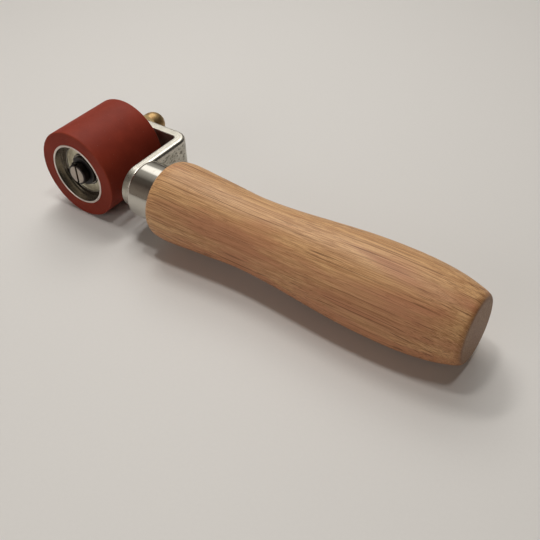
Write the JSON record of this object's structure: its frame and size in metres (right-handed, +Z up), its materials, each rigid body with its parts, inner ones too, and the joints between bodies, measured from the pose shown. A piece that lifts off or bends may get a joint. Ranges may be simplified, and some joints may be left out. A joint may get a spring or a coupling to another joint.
{
  "type": "seam roller",
  "caption": "One-sided hand seam roller or small brayer: a silicone-sleeved roller on ball bearings, an L-bent flat bar bracket, a ferrule and a turned beech handle.",
  "frame": {"origin": "centre of the footprint of the whole tool on the surface that it lies on, roller and handle swell both touching", "axes": "+X along the tool from the roller to the butt of the handle; +Y along the roller's axle from its slotted end to the cap nut; +Z up"},
  "size_m": [0.1694, 0.0534, 0.034],
  "materials": {
    "silicone": "matt brick red",
    "beech": "turned and oiled, satin",
    "bracket_chrome": "plated, slightly worn",
    "ferrule_chrome": "drawn and plated, bright",
    "turned_steel": "turned",
    "zinc_steel": "zinc plated",
    "bearing_steel": "ground",
    "shield_steel": "pressed, pale",
    "ball_steel": "polished",
    "cage_steel": "pressed strip",
    "black_steel": "black oxide spring steel",
    "brass": "polished"
  },
  "bodies": {
    "frame": {"wood_handle": "beech", "ferrule": "ferrule_chrome", "bracket": "bracket_chrome", "handle_screw": "zinc_steel", "axle": "turned_steel", "arm_spacer": "turned_steel", "bearing_spacer": "turned_steel", "near_inner_race": "bearing_steel", "far_inner_race": "bearing_steel", "retaining_ring": "black_steel", "cap_nut": "brass"},
    "roller": {"rubber_sleeve": "silicone", "core_tube": "zinc_steel", "near_outer_race": "bearing_steel", "near_outboard_shield": "shield_steel", "near_inboard_shield": "shield_steel", "far_outer_race": "bearing_steel", "far_outboard_shield": "shield_steel", "far_inboard_shield": "shield_steel"},
    "near_ball_set": {"near_ball_cage": "cage_steel", "near_ball_1": "ball_steel", "near_ball_2": "ball_steel", "near_ball_3": "ball_steel", "near_ball_4": "ball_steel", "near_ball_5": "ball_steel", "near_ball_6": "ball_steel", "near_ball_7": "ball_steel"},
    "far_ball_set": {"far_ball_cage": "cage_steel", "far_ball_1": "ball_steel", "far_ball_2": "ball_steel", "far_ball_3": "ball_steel", "far_ball_4": "ball_steel", "far_ball_5": "ball_steel", "far_ball_6": "ball_steel", "far_ball_7": "ball_steel"}
  },
  "joints": [
    {"name": "roller_spin", "type": "hinge", "parent": "frame", "child": "roller", "pos_m": [-0.06772, -0.00558, 0.017], "axis": [0, 1, 0], "continuous": true},
    {"name": "near_ball_orbit", "type": "hinge", "parent": "frame", "child": "near_ball_set", "pos_m": [-0.06772, -0.00558, 0.017], "axis": [0, 1, 0], "continuous": true},
    {"name": "far_ball_orbit", "type": "hinge", "parent": "frame", "child": "far_ball_set", "pos_m": [-0.06772, -0.00558, 0.017], "axis": [0, 1, 0], "continuous": true}
  ],
  "couplings": [
    {"joint": "near_ball_orbit", "follows": "roller_spin", "ratio": 0.6323},
    {"joint": "far_ball_orbit", "follows": "roller_spin", "ratio": 0.6323}
  ]
}
